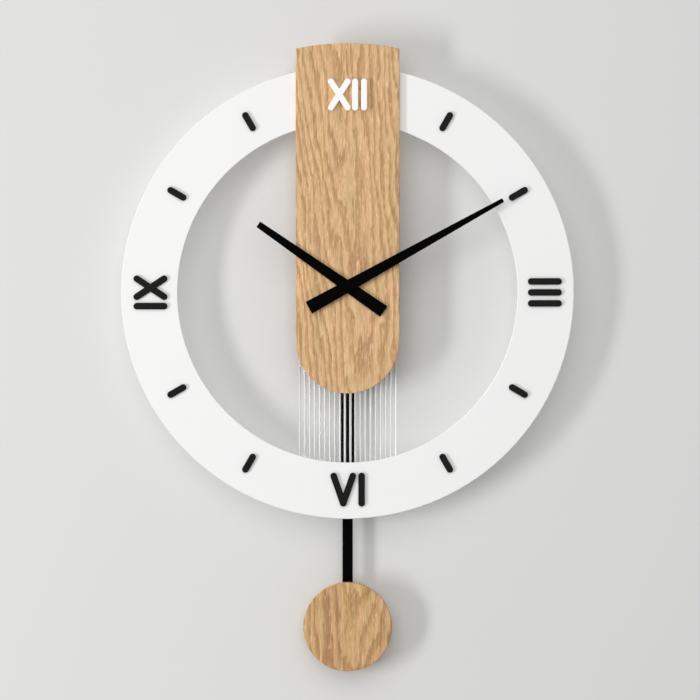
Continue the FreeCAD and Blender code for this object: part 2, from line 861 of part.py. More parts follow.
def step_wheel():
    rim = wheel(step_axis, rotor_stage_module, step_wheel_teeth, step_wheel_phase,
                step_wheel_back, step_wheel_front)
    teeth = pinion(step_axis, second_stage_module, step_pinion_teeth, step_pinion_phase,
                   second_wheel_back, second_wheel_front)
    arbor = disc(step_axis, train_arbor_radius, rear_pivot_end, front_pivot_end)
    return joined([rim, teeth, arbor])


# Step motor

def rotor_arbor():
    teeth = pinion(rotor_axis, rotor_stage_module, rotor_pinion_teeth, rotor_pinion_phase,
                   step_wheel_back, step_wheel_front)
    arbor = disc(rotor_axis, train_arbor_radius, rear_pivot_end, front_pivot_end)
    return joined([teeth, arbor])


def rotor_magnet():
    return tube(rotor_axis, magnet_radius, train_arbor_radius, magnet_back, magnet_back + magnet_length)


coil_height = rotor_axis[1] + coil_above_rotor
coil_depth = (stator_back + stator_front) / 2
bobbin_left = rotor_axis[0] + magnet_radius + stator_bore_gap + stator_pole_wall + bobbin_to_rotor_pole
bobbin_right = stator_right_reach - stator_end_width - bobbin_to_end_arm


def stator():
    bore_radius = magnet_radius + stator_bore_gap
    pole_radius = bore_radius + stator_pole_wall
    half_arm = stator_arm_width / 2
    foot = rotor_axis[1] - stator_foot_below_rotor
    pole = disc(rotor_axis, pole_radius, stator_back, stator_front)
    neck = slab(rotor_axis[0] - half_arm, rotor_axis[0] + half_arm, rotor_axis[1], coil_height + half_arm,
                stator_back, stator_front)
    core = slab(rotor_axis[0] - half_arm, stator_right_reach, coil_height - half_arm, coil_height + half_arm,
                stator_back, stator_front)
    end = slab(stator_right_reach - stator_end_width, stator_right_reach, foot, coil_height + half_arm,
               stator_back, stator_front)
    lower_arm = slab(rotor_axis[0], stator_right_reach, foot, foot + stator_arm_width,
                     stator_back, stator_front)
    plate = joined([pole, neck, core, end, lower_arm])
    plate = cleared(plate, [rotor_axis], bore_radius, stator_back, stator_front)
    half_slot = stator_slot_width / 2
    for side in sides:
        middle = rotor_axis[0] + side * (bore_radius + stator_pole_wall / 2)
        slot = slab(middle - stator_pole_wall, middle + stator_pole_wall, rotor_axis[1] - half_slot,
                    rotor_axis[1] + half_slot, stator_back - cut_overrun, stator_front + cut_overrun)
        plate = plate.cut(slot)
    return plate


stator_posts = [(stator_right_reach - stator_end_width / 2, rotor_axis[1] - stator_foot_below_rotor
                 + stator_arm_width / 2), (rotor_axis[0], coil_height)]


def lying_disc(radius, left, right, height, off_wall):
    return Part.makeCylinder(radius, right - left, at(left, off_wall, height), Vector(1, 0, 0))


def coil_bobbin():
    barrel = lying_disc(bobbin_barrel_radius, bobbin_left, bobbin_right, coil_height, coil_depth)
    left_flange = lying_disc(bobbin_flange_radius, bobbin_left, bobbin_left + bobbin_flange_thickness,
                             coil_height, coil_depth)
    right_flange = lying_disc(bobbin_flange_radius, bobbin_right - bobbin_flange_thickness, bobbin_right,
                              coil_height, coil_depth)
    half_arm = stator_arm_width / 2 + bobbin_clearance
    passage = slab(bobbin_left - cut_overrun, bobbin_right + cut_overrun, coil_height - half_arm,
                   coil_height + half_arm, stator_back - bobbin_clearance, stator_front + bobbin_clearance)
    return joined([barrel, left_flange, right_flange]).cut(passage)


def motor_coil():
    left = bobbin_left + bobbin_flange_thickness
    right = bobbin_right - bobbin_flange_thickness
    winding = lying_disc(winding_radius, left, right, coil_height, coil_depth)
    return winding.cut(lying_disc(bobbin_barrel_radius, left, right, coil_height, coil_depth))


# Train plate and electronics

def train_plate():
    plate_half = inner_half_width - plate_side_gap
    plate = rounded_slab(-plate_half, plate_half, axis_height - plate_foot_below_hands_axis,
                         axis_height + plate_top_above_hands_axis, post_radius, plate_back, plate_front)
    for place in circuit_pegs:
        plate = plate.fuse(disc(place, peg_radius, circuit_front, plate_back))
    plate = plate.removeSplitter()
    for axis in (third_axis, second_axis, step_axis, rotor_axis):
        plate = cleared(plate, [axis], train_arbor_radius + running_clearance, plate_back, plate_front)
    plate = cleared(plate, [hands_axis], centre_pivot_radius + running_clearance, plate_back, plate_front)
    plate = cleared(plate, [motion_axis], motion_arbor_radius + running_clearance, plate_back, plate_front)
    plate = cleared(plate, [knob_axis], knob_shaft_radius + running_clearance, plate_back, plate_front)
    return cleared(plate, plate_posts, case_screw["shank_radius"], plate_back, plate_front)


circuit_half = inner_half_width - circuit_side_gap
circuit_foot = axis_height + circuit_above_hands_axis
circuit_top = circuit_foot + circuit_height
circuit_pegs = [(side * (circuit_half - post_inset - post_radius - peg_radius), circuit_foot + post_inset)
                for side in sides]


def circuit_board():
    return slab(-circuit_half, circuit_half, circuit_foot, circuit_top, circuit_back, circuit_front)


def timing_chip():
    height = (circuit_foot + circuit_top) / 2
    chip = disc((0, height), chip_radius, circuit_back - chip_height, circuit_back)
    back_edges = [edge for edge in chip.Edges if edge.BoundBox.YMin > -circuit_back + chip_height / 2]
    return chip.makeFillet(chip_height / 2, back_edges)


def quartz_crystal():
    height = circuit_top - crystal_radius
    return lying_disc(crystal_radius, -crystal_length / 2, crystal_length / 2, height,
                      circuit_front + crystal_radius)


# Case and cover

def movement_case():
    outer = rounded_slab(-case_half_width, case_half_width, case_foot, case_top, case_corner_radius,
                         cover_front, case_front)
    inner = rounded_slab(-inner_half_width, inner_half_width, case_foot + case_side_wall,
                         case_top - case_side_wall, case_corner_radius - case_side_wall,
                         cover_front - cut_overrun, front_inside)
    pieces = [outer.cut(inner)]
    for place in top_bosses + foot_bosses:
        pieces.append(disc(place, boss_radius, cover_front, front_inside))
    for place in plate_posts:
        pieces.append(disc(place, post_radius, plate_front, front_inside))
    for low in (bay_top - bay_rib_thickness, bay_foot):
        pieces.append(slab(-inner_half_width, inner_half_width, low, low + bay_rib_thickness,
                           cover_front, front_inside))
    for place in stator_posts:
        pieces.append(disc(place, peg_radius, stator_front, front_inside))
    pieces.append(disc(pivot_axis, pivot_boss_radius, arm_hub_front + end_gap, front_inside))
    case = joined(pieces)
    case = cleared(case, [hands_axis], bushing_root_radius, front_inside, case_front)
    for axis in (third_axis, second_axis, step_axis, rotor_axis):
        case = case.cut(front_bearing(axis, train_arbor_radius))
    case = case.cut(front_bearing(motion_axis, motion_arbor_radius))
    case = case.cut(front_bearing(knob_axis, knob_shaft_radius))
    pin_front = arm_hub_front + end_gap + pivot_pin_seat_depth
    case = case.cut(disc(pivot_axis, pivot_pin_radius, arm_hub_back, pin_front))
    case = bored(case, top_bosses, 0, case_screw_length, case_screw)
    case = bored(case, foot_bosses, cover_back, case_screw_length, case_screw)
    case = bored(case, plate_posts, plate_back, plate_screw_length, case_screw)
    return case.cut(arm_slot())


def arm_slot():
    swing_reach = (pivot_axis[1] - case_foot) * math.tan(math.radians(swing_angle))
    half = arm_half_width + swing_reach + slot_side_gap
    return slab(-half, half, case_foot - cut_overrun, case_foot + case_side_wall + cut_overrun,
                arm_back - arm_slot_back_gap, rod_front + arm_slot_back_gap)


def movement_cover():
    plate = rounded_slab(-case_half_width, case_half_width, case_foot, case_top, case_corner_radius,
                         cover_back, cover_front)
    pieces = [plate, disc(pivot_axis, pivot_boss_radius, cover_front, arm_hub_back - end_gap),
              disc(drive_axis, drive_peg_radius, cover_front, drive_coil_front - drive_flange_thickness)]
    for side in sides:
        pieces.append(disc((side * pad_across, foot_bosses[0][1]), pad_radius, 0, cover_back))
    cover = joined(pieces)
    window_half = (battery_length + battery_nub_length) / 2 + bay_window_margin
    window_high = battery_radius + battery_gap
    cover = cover.cut(slab(-window_half, window_half, battery_height - window_high,
                           battery_height + window_high, cover_back - cut_overrun, cover_front + cut_overrun))
    cover = cleared(cover, [knob_axis], knob_radius + knob_hole_gap, cover_back, cover_front)
    pin_back = arm_hub_back - end_gap - pivot_pin_seat_depth
    cover = cover.cut(disc(pivot_axis, pivot_pin_radius, pin_back, arm_hub_back))
    return cleared(cover, top_bosses + foot_bosses, case_screw["shank_radius"], cover_back, cover_front)


def hanger_plate():
    half = hanger_width / 2
    foot = case_top - hanger_lap
    lap = rounded_slab(-half, half, foot, case_top, hanger_thickness, 0, hanger_thickness)
    tongue = slab(-hanger_tongue_radius, hanger_tongue_radius, foot, 0, 0, hanger_thickness)
    plate = joined([lap, tongue, disc((0, 0), hanger_tongue_radius, 0, hanger_thickness)])
    plate = cleared(plate, [(0, 0)], eye_radius, 0, hanger_thickness)
    for place in top_bosses:
        plate = plate.cut(sunk_head(place, case_screw))
    return cleared(plate, top_bosses, case_screw["shank_radius"], 0, hanger_thickness)


# Bushing, washer and nut

def threaded_bushing():
    root = disc(hands_axis, bushing_root_radius, front_inside, case_front)
    barrel = disc(hands_axis, bushing_radius, case_front, case_front + bushing_length)
    bore_radius = hour_pipe_radius + running_clearance
    whole = joined([root, barrel])
    return cleared(whole, [hands_axis], bore_radius, front_inside, case_front + bushing_length)


def fixing_washer():
    return tube(hands_axis, washer_radius, bushing_radius + thread_clearance, panel_front,
                panel_front + washer_thickness)


def fixing_nut():
    back = panel_front + washer_thickness
    corner_radius = nut_across_flats / 2 / math.cos(math.radians(30))
    corners = [away(hands_axis, corner_radius, 60 * corner) for corner in range(6)]
    nut = polygon(corners, back, back + nut_thickness)
    return cleared(nut, [hands_axis], bushing_radius + thread_clearance, back, back + nut_thickness)


# Battery, contacts and knob

def battery():
    right = battery_left + battery_length
    can = lying_disc(battery_radius, battery_left, right, battery_height, battery_depth)
    can = can.makeFillet(battery_edge_round, [edge for edge in can.Edges if edge.Closed])
    nub = lying_disc(battery_nub_radius, battery_left + battery_radius, right + battery_nub_length,
                     battery_height, battery_depth)
    return joined([can, nub])


def contact_blade(wall_side, touch):
    # A bowed blade that stands on the case's side wall and touches the cell's end
    half = contact_height / 2
    wall = wall_side * inner_half_width
    wall_face = wall - wall_side * contact_thickness
    low = battery_height - half
    high = battery_height + half
    back = battery_depth - contact_width / 2
    outer = [(wall, low), (wall, high)]
    bow = [(wall_face, high), (touch, battery_height), (wall_face, low)]
    touch_face = touch + wall_side * contact_thickness
    inner = [(wall_face, low + contact_thickness), (touch_face, battery_height),
             (wall_face, high - contact_thickness)]
    edges = [line(outer[0], outer[1], back), line(outer[1], bow[0], back), arc(*bow, back),
             line(bow[2], outer[0], back)]
    hollow = [arc(*inner, back), line(inner[2], inner[0], back)]
    blade = prism(edges, back, back + contact_width)
    return blade.cut(prism(hollow, back, back + contact_width))


def positive_contact():
    return contact_blade(1, battery_left + battery_length + battery_nub_length)


def negative_contact():
    return contact_blade(-1, battery_left)


def set_knob():
    knob_back = cover_back + knob_recess
    knob_front = knob_back + knob_thickness
    knob = disc(knob_axis, knob_radius, knob_back, knob_front)
    for grip in range(knob_grips):
        place = away(knob_axis, knob_radius, 360 * grip / knob_grips)
        knob = knob.cut(disc(place, knob_grip_radius, knob_back - cut_overrun, knob_front + cut_overrun))
    shaft = disc(knob_axis, knob_shaft_radius, knob_front, front_pivot_end)
    teeth = pinion(knob_axis, minute_stage_module, knob_pinion_teeth, knob_phase,
                   motion_wheel_back, motion_wheel_front)
    return joined([knob, shaft, teeth])


# Pendulum drive and pendulum

def pivot_pin():
    back = arm_hub_back - end_gap - pivot_pin_seat_depth
    front = arm_hub_front + end_gap + pivot_pin_seat_depth
    return disc(pivot_axis, pivot_pin_radius, back, front)


def pendulum_arm():
    foot = case_foot - arm_foot_below_case
    blade = stroke(pivot_axis, (0, foot + arm_half_width), 2 * arm_half_width, arm_back, arm_front)
    hub = disc(pivot_axis, arm_hub_radius, arm_hub_back, arm_hub_front)
    cup = disc(drive_axis, drive_magnet_radius + arm_pocket_wall, arm_back, arm_front)
    stud = disc(stud_axis, stud_radius, arm_back, rod_front + stud_proud)
    arm = joined([blade, hub, cup, stud])
    arm = cleared(arm, [pivot_axis], pivot_pin_radius + running_clearance, arm_hub_back, arm_hub_front)
    pocket = disc(drive_axis, drive_magnet_radius, arm_back - cut_overrun,
                  drive_magnet_back + drive_magnet_thickness)
    return arm.cut(pocket)


def arm_magnet():
    front = drive_magnet_back + drive_magnet_thickness
    return disc(drive_axis, drive_magnet_radius, drive_magnet_back, front)


def drive_bobbin():
    barrel = disc(drive_axis, drive_barrel_radius, drive_circuit_front, drive_coil_front)
    back_flange = disc(drive_axis, drive_flange_radius, drive_circuit_front,
                       drive_circuit_front + drive_flange_thickness)
    front_flange = disc(drive_axis, drive_flange_radius, drive_coil_front - drive_flange_thickness,
                        drive_coil_front)
    bobbin = joined([barrel, back_flange, front_flange])
    return cleared(bobbin, [drive_axis], drive_peg_radius + bobbin_clearance, drive_circuit_front,
                   drive_coil_front)


def drive_coil():
    return tube(drive_axis, drive_winding_radius, drive_barrel_radius,
                drive_circuit_front + drive_flange_thickness, drive_coil_front - drive_flange_thickness)


def drive_circuit():
    half = drive_circuit_width / 2
    half_height = drive_circuit_height / 2
    board = slab(-half, half, drive_axis[1] - half_height, drive_axis[1] + half_height, cover_front,
                 drive_circuit_front)
    return cleared(board, [drive_axis], drive_peg_radius + bobbin_clearance, cover_front, drive_circuit_front)


def pendulum_rod():
    top = case_foot - rod_top_below_case
    foot = bob_centre[1] - rod_foot_below_bob_centre
    half = rod_width / 2
    rod = slab(-half, half, foot, top, rod_back, rod_front)
    rod = cleared(rod, [stud_axis], stud_radius + stud_clearance, rod_back, rod_front)
    return cleared(rod, bob_screw_places, wood_screw["shank_radius"], rod_back, rod_front)


def pendulum_bob():
    bob = disc(bob_centre, bob_radius, bob_back, bob_front)
    bob = round_front(bob, bob_front, bob_edge_round)
    half = rod_width / 2 + groove_clearance
    groove_foot = bob_centre[1] - rod_foot_below_bob_centre - groove_clearance
    groove = slab(-half, half, groove_foot, bob_centre[1] + bob_diameter, bob_back - cut_overrun, rod_front)
    return bored(bob.cut(groove), bob_screw_places, rod_back, bob_screw_length, wood_screw)


nodes = {
    "oak_board": oak_board,
    "dial_ring": dial_ring,
    "reeded_panel": reeded_panel,
    "numeral_xii": numeral_xii,
    "numeral_iii": numeral_iii,
    "numeral_vi": numeral_vi,
    "numeral_ix": numeral_ix,
    "hour_marks": hour_marks,
    "hour_hand": hour_hand,
    "hour_hand_bush": hour_hand_bush,
    "minute_hand": minute_hand,
    "minute_hand_bush": minute_hand_bush,
    "centre_arbor": centre_arbor,
    "clutch_spring": clutch_spring,
    "centre_wheel": centre_wheel,
    "hour_wheel": hour_wheel,
    "motion_wheel": motion_wheel,
    "third_wheel": third_wheel,
    "second_wheel": second_wheel,
    "step_wheel": step_wheel,
    "rotor_arbor": rotor_arbor,
    "rotor_magnet": rotor_magnet,
    "stator": stator,
    "coil_bobbin": coil_bobbin,
    "motor_coil": motor_coil,
    "train_plate": train_plate,
    "circuit_board": circuit_board,
    "timing_chip": timing_chip,
    "quartz_crystal": quartz_crystal,
    "movement_case": movement_case,
    "movement_cover": movement_cover,
    "hanger_plate": hanger_plate,
    "threaded_bushing": threaded_bushing,
    "fixing_washer": fixing_washer,
    "fixing_nut": fixing_nut,
    "battery": battery,
    "positive_contact": positive_contact,
    "negative_contact": negative_contact,
    "set_knob": set_knob,
    "pivot_pin": pivot_pin,
    "pendulum_arm": pendulum_arm,
    "arm_magnet": arm_magnet,
    "drive_bobbin": drive_bobbin,
    "drive_coil": drive_coil,
    "drive_circuit": drive_circuit,
    "pendulum_rod": pendulum_rod,
    "pendulum_bob": pendulum_bob,
    "hanger_screws": lambda: sunk_screws(top_bosses, case_screw_length, case_screw),
    "cover_screws": lambda: screws(foot_bosses, cover_back, case_screw_length, case_screw),
    "train_plate_screws": lambda: screws(plate_posts, plate_back, plate_screw_length, case_screw),
    "board_screws": lambda: screws(board_screw_places, panel_back, board_screw_length, wood_screw),
    "ring_top_screws": lambda: screws(ring_top_places, panel_back, ring_top_screw_length, wood_screw),
    "ring_foot_screws": lambda: screws(ring_foot_places, panel_back, ring_foot_screw_length, wood_screw),
    "bob_screws": lambda: screws(bob_screw_places, rod_back, bob_screw_length, wood_screw),
}

os.makedirs("parts", exist_ok=True)
for name, make in nodes.items():
    shape = make()
    if not shape.isValid():
        raise ValueError(name + " isn't a valid shape")
    shape.exportStep("parts/" + name + ".step")
print(len(nodes), "nodes written")
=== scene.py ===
import math
import bpy
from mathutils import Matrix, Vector


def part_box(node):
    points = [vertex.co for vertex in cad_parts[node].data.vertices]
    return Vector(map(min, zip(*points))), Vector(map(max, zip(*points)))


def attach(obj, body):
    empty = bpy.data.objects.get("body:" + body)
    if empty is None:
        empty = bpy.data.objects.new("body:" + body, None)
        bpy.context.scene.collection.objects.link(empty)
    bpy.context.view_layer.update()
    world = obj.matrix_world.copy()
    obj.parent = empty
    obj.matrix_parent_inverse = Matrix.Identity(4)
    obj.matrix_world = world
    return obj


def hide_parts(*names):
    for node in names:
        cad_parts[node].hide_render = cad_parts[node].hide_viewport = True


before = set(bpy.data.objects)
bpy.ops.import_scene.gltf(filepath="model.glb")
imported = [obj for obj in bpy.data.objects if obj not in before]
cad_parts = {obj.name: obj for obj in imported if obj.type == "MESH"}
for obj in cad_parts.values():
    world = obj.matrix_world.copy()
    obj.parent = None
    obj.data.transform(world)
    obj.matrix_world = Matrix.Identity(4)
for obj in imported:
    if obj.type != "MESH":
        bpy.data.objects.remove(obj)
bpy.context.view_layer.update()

scene = bpy.context.scene
scene.view_settings.view_transform = "Standard"
mm = 0.001  # sizes below are in millimetres, but for the wall's size, the lamps and the camera, in metres
mostNoise = (0.2, 0.8)  # nearly all of a noise lies between these
reeds = {"count": 19, "pitch": 4.25}  # of the clear strip, for its shape and for its painted reflection lines


def boxInMm(node):
    # two corners of a CAD node's box in millimetres, rounded to the micrometre
    return [[round(place / mm, 3) for place in corner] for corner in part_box(node)]


# Shader nodes. Their owner is a material or the world.

def feed(owner, socket, value):
    if isinstance(value, bpy.types.NodeSocket):
        owner.node_tree.links.new(value, socket)
    else:
        socket.default_value = value


def put(owner, kind, inputs=None, **settings):
    made = owner.node_tree.nodes.new("ShaderNode" + kind)
    for key, value in settings.items():
        setattr(made, key, value)
    for key, value in (inputs or {}).items():
        feed(owner, made.inputs[key], value)
    return made


def newMaterial(name, **sockets):
    material = bpy.data.materials.new(name)
    material.use_nodes = True
    shader = material.node_tree.nodes["Principled BSDF"]
    for key, value in sockets.items():
        feed(material, shader.inputs[key.replace("_", " ")], value)
    return material, shader


def calc(owner, operation, first, second=0.0, third=0.0):
    return put(owner, "Math", {0: first, 1: second, 2: third}, operation=operation).outputs[0]


def place(owner, stretch=(1, 1, 1), shift=(0, 0, 0)):
    # object coordinates in millimetres, stretched and moved
    where = put(owner, "TexCoord").outputs["Object"]
    scale = [share / mm for share in stretch]
    return put(owner, "Mapping", {"Vector": where, "Scale": scale, "Location": shift}).outputs[0]


def noise(owner, where, size, detail=2.0, rough=0.5):
    made = put(owner, "TexNoise", {"Vector": where, "Scale": 1 / size, "Detail": detail, "Roughness": rough})
    return made.outputs["Fac"]


def remap(owner, value, low, high, newLow=0.0, newHigh=1.0, smooth=False):
    kind = "SMOOTHSTEP" if smooth else "LINEAR"
    made = put(owner, "MapRange", {"Value": value, "From Min": low, "From Max": high,
                                   "To Min": newLow, "To Max": newHigh}, interpolation_type=kind)
    return made.outputs["Result"]


def blendColours(owner, share, first, second, how="MIX"):
    # a Mix node takes colours at its sockets 6 and 7 and gives one at 2
    made = put(owner, "Mix", {"Factor": share}, data_type="RGBA", blend_type=how)
    feed(owner, made.inputs[6], first)
    feed(owner, made.inputs[7], second)
    return made.outputs[2]


def tinted(owner, colour, cast):
    return blendColours(owner, 1.0, colour, cast, "MULTIPLY")


def shaded(owner, colour, tone):
    grey = put(owner, "CombineColor", {0: tone, 1: tone, 2: tone}).outputs[0]
    return tinted(owner, colour, grey)


def bump(owner, shader, height, strength, depth):
    made = put(owner, "Bump", {"Height": height, "Strength": strength, "Distance": depth * mm})
    feed(owner, shader.inputs["Normal"], made.outputs[0])


def swapSurface(material, shader, share, other):
    # where the share is 1 the other shader takes the place of the material's own
    both = put(material, "MixShader", {0: share, 1: shader.outputs[0], 2: other.outputs[0]})
    feed(material, material.node_tree.nodes["Material Output"].inputs["Surface"], both.outputs[0])


def rgb(red, green, blue):
    return (red, green, blue, 1.0)


# Oak

oakLook = {
    "earlyWood": rgb(0.455, 0.255, 0.108), "lateWood": rgb(0.735, 0.480, 0.252),
    "poreColour": rgb(0.270, 0.140, 0.060), "rayColour": rgb(0.830, 0.600, 0.370),
    "rosyCast": rgb(1.03, 0.975, 0.985), "oliveCast": rgb(0.985, 1.015, 0.96),
    "specular": 0.35, "roughness": (0.46, 0.62), "bumpStrength": 0.3, "bumpDepth": 0.1, "fibreRelief": 0.35,
    "ringWidth": 5.4, "ringUnevenness": 0.85, "earlyEnds": 0.60, "earlyReturns": 0.84, "earlyShare": 0.80,
    "wander": 11.0, "bendsPerMm": 0.045, "bendStretch": 0.22, "bendDetail": 3.0,
    # noises: size in mm, stretch up the grain, detail and roughness; an aside sets one apart from the others
    "uneven": {"size": 2.2, "stretch": 0.10, "detail": 3.0, "rough": 0.62},
    "fibre": {"size": 1.2, "stretch": 0.11, "detail": 5.0, "rough": 0.74},
    "coarse": {"size": 6.0, "stretch": 0.05, "detail": 2.0},
    "pores": {"size": 0.7, "stretch": 0.11, "detail": 1.5},
    "rays": {"size": 1.1, "stretch": 0.14, "detail": 1.0, "aside": (90, 0, 0)},
    "cast": {"size": 11.0, "stretch": 0.2, "detail": 2.0, "aside": (0, 40, 0)},
    # the part of a noise that counts, and what becomes of it; poresInWood is for late and for early wood
    "tonePart": (0.25, 0.75), "fibreTone": (0.58, 1.33), "coarseTone": (0.88, 1.12),
    "peakPart": (0.60, 0.72), "poresInWood": (0.15, 0.75), "rayShare": 0.7, "castPart": (0.35, 0.65),
    "faceOffWall": 30.0,
    # the pith stands across and behind the face, and leans back and aside with each mm down
    "board": {"pith": {"across": 5.0, "behind": 19.0, "leanBack": 0.062, "leanAside": 0.105},
              "shift": (0.0, 0.0, 0.0), "shade": 1.0, "warmth": rgb(1.0, 0.985, 0.985)},
    "bob": {"pith": {"across": 4.0, "behind": 13.0, "leanBack": -0.10, "leanAside": 0.0},
            "shift": (61.0, 23.0, 332.0), "shade": 0.86, "warmth": rgb(1.02, 0.965, 0.90)},
}


def grain(material, shift, size, stretch, detail, rough=0.5, aside=(0, 0, 0)):
    spot = [start + more for start, more in zip(shift, aside)]
    return noise(material, place(material, (1, 1, stretch), spot), size, detail, rough)


def growthRings(material, shift, across, behind, leanBack, leanAside):
    # the rings are cylinders round a leaning pith behind the face, so a face cut across them shows arches
    look = oakLook
    slow = put(material, "TexNoise", {"Vector": place(material, (1, 1, look["bendStretch"]), shift),
                                      "Scale": look["bendsPerMm"], "Detail": look["bendDetail"]})
    bend = put(material, "VectorMath", {0: slow.outputs["Color"], 1: (0.5, 0.5, 0.5)}, operation="SUBTRACT")
    push = put(material, "VectorMath", {0: bend.outputs[0], 3: look["wander"] * 2}, operation="SCALE")
    straight = place(material, shift=shift)
    bent = put(material, "VectorMath", {0: straight, 1: push.outputs[0]}, operation="ADD")
    axes = put(material, "SeparateXYZ", {0: bent.outputs[0]}).outputs
    lower = calc(material, "SUBTRACT", shift[2], axes[2])
    pithAcross = calc(material, "MULTIPLY_ADD", lower, leanAside, shift[0] + across)
    pithBehind = calc(material, "MULTIPLY_ADD", lower, leanBack, behind)
    sideways = calc(material, "SUBTRACT", axes[0], pithAcross)
    outOfFace = calc(material, "SUBTRACT", shift[1] - look["faceOffWall"], axes[1])
    away = calc(material, "ADD", outOfFace, pithBehind)
    fromPith = calc(material, "SQRT", calc(material, "ADD", calc(material, "MULTIPLY", sideways, sideways),
                                           calc(material, "MULTIPLY", away, away)))
    uneven = grain(material, shift, **look["uneven"])
    return calc(material, "MULTIPLY_ADD", uneven, look["ringUnevenness"],
                calc(material, "DIVIDE", fromPith, look["ringWidth"]))


def oakMaterial(name, pith, shift, shade, warmth):
    look = oakLook
    material, shader = newMaterial(name, Specular_IOR_Level=look["specular"])
    # each ring starts in early wood, turns into late wood and goes over into the next one's early wood
    part = calc(material, "FRACT", growthRings(material, shift, **pith))
    early = calc(material, "MAXIMUM", remap(material, part, 0.0, look["earlyEnds"], 1.0, 0.0, smooth=True),
                 remap(material, part, look["earlyReturns"], 1.0, smooth=True))

    fibre = grain(material, shift, **look["fibre"])
    coarse = grain(material, shift, **look["coarse"])
    pores = remap(material, grain(material, shift, **look["pores"]), *look["peakPart"])
    pores = calc(material, "MULTIPLY", pores, remap(material, early, 0.0, 1.0, *look["poresInWood"]))
    rays = remap(material, grain(material, shift, **look["rays"]), *look["peakPart"], 0.0, look["rayShare"])

    earlyShare = calc(material, "MULTIPLY", early, look["earlyShare"])
    colour = blendColours(material, earlyShare, look["lateWood"], look["earlyWood"])
    colour = blendColours(material, rays, colour, look["rayColour"])
    darkest, lightest = [tone * shade for tone in look["fibreTone"]]
    tone = calc(material, "MULTIPLY", remap(material, fibre, *look["tonePart"], darkest, lightest),
                remap(material, coarse, *look["tonePart"], *look["coarseTone"]))
    colour = shaded(material, colour, tone)
    # the wood drifts slowly between a rosy and an olive cast
    cast = remap(material, grain(material, shift, **look["cast"]), *look["castPart"])
    colour = tinted(material, colour, blendColours(material, cast, look["rosyCast"], look["oliveCast"]))
    colour = tinted(material, colour, warmth)
    colour = blendColours(material, pores, colour, look["poreColour"])
    feed(material, shader.inputs["Base Color"], colour)
    feed(material, shader.inputs["Roughness"], remap(material, fibre, *mostNoise, *look["roughness"]))
    height = calc(material, "SUBTRACT", calc(material, "MULTIPLY", fibre, look["fibreRelief"]), pores)
    bump(material, shader, height, look["bumpStrength"], look["bumpDepth"])
    return material


# Moulded, painted and plated surfaces

plainLook = {
    "grainDetail": 3.0, "bumpStrength": 0.5,
    "driftSize": 18.0, "driftDetail": 2.0, "driftShift": (7, 3, 11), "sheenDrift": 0.05,
}


def plainMaterial(name, colour, roughness, grainSize, depth, drift, metal=0.0, specular=0.5,
                  stretch=(1, 1, 1)):
    # fine grain in the relief, and slow drift in tone and sheen
    look = plainLook
    material, shader = newMaterial(name, Metallic=metal, Specular_IOR_Level=specular)
    fine = noise(material, place(material, stretch), grainSize, look["grainDetail"])
    slow = noise(material, place(material, shift=look["driftShift"]), look["driftSize"], look["driftDetail"])
    tone = calc(material, "MULTIPLY", remap(material, fine, *mostNoise, 1 - drift, 1 + drift),
                remap(material, slow, *mostNoise, 1 - drift / 2, 1 + drift / 2))
    sheen = remap(material, slow, *mostNoise, roughness - look["sheenDrift"], roughness + look["sheenDrift"])
    feed(material, shader.inputs["Base Color"], shaded(material, rgb(*colour), tone))
    feed(material, shader.inputs["Roughness"], sheen)
    bump(material, shader, fine, look["bumpStrength"], depth)
    return material


# Circuit boards

circuitLook = {
    "lacquer": rgb(0.014, 0.085, 0.028), "track": rgb(0.040, 0.190, 0.060), "solder": rgb(0.60, 0.60, 0.58),
    "trackLength": 9.1, "trackSpacing": 1.27, "trackWidth": 0.42, "trackSoftness": 0.1,
    "padPitch": 2.54, "padRadius": 0.5, "padShare": 0.4, "padCoreShare": 0.9,
    "coat": 0.3, "roughness": (0.28, 0.36), "bumpStrength": 0.5, "bumpDepth": 0.05,
}


def circuitMaterial(name):
    # green lacquer, paler over its copper tracks, with some soldered pads on a square grid
    look = circuitLook
    material, shader = newMaterial(name, Coat_Weight=look["coat"])
    axes = put(material, "SeparateXYZ", {0: place(material)}).outputs
    flat = put(material, "CombineXYZ", {0: axes[0], 1: axes[2]}).outputs[0]
    tracks = put(material, "TexBrick", {
        "Vector": flat, "Scale": 1.0, "Brick Width": look["trackLength"], "Row Height": look["trackSpacing"],
        "Mortar Size": look["trackWidth"] / 2, "Mortar Smooth": look["trackSoftness"]}).outputs["Fac"]
    cells = put(material, "TexVoronoi", {
        "Vector": flat, "Scale": 1 / look["padPitch"], "Randomness": 0.0}).outputs
    chance = put(material, "SeparateColor", {0: cells["Color"]}).outputs[0]
    reach = look["padRadius"] / look["padPitch"]
    pads = remap(material, cells["Distance"], reach * look["padCoreShare"], reach, 1.0, 0.0)
    pads = calc(material, "MULTIPLY", pads, calc(material, "LESS_THAN", chance, look["padShare"]))
    colour = blendColours(material, tracks, look["lacquer"], look["track"])
    feed(material, shader.inputs["Base Color"], blendColours(material, pads, colour, look["solder"]))
    feed(material, shader.inputs["Metallic"], pads)
    feed(material, shader.inputs["Roughness"], remap(material, pads, 0.0, 1.0, *look["roughness"]))
    bump(material, shader, calc(material, "MAXIMUM", tracks, pads), look["bumpStrength"], look["bumpDepth"])
    return material


# The battery cell

cellLook = {
    "sleeve": rgb(0.23, 0.25, 0.27), "band": rgb(0.05, 0.055, 0.06), "metal": rgb(0.62, 0.62, 0.61),
    "sleeveEnd": 24.3, "bandStart": 11.0,
    "grain": 0.3, "tone": (0.95, 1.05), "roughness": (0.28, 0.36), "bumpStrength": 0.3, "bumpDepth": 0.01,
}


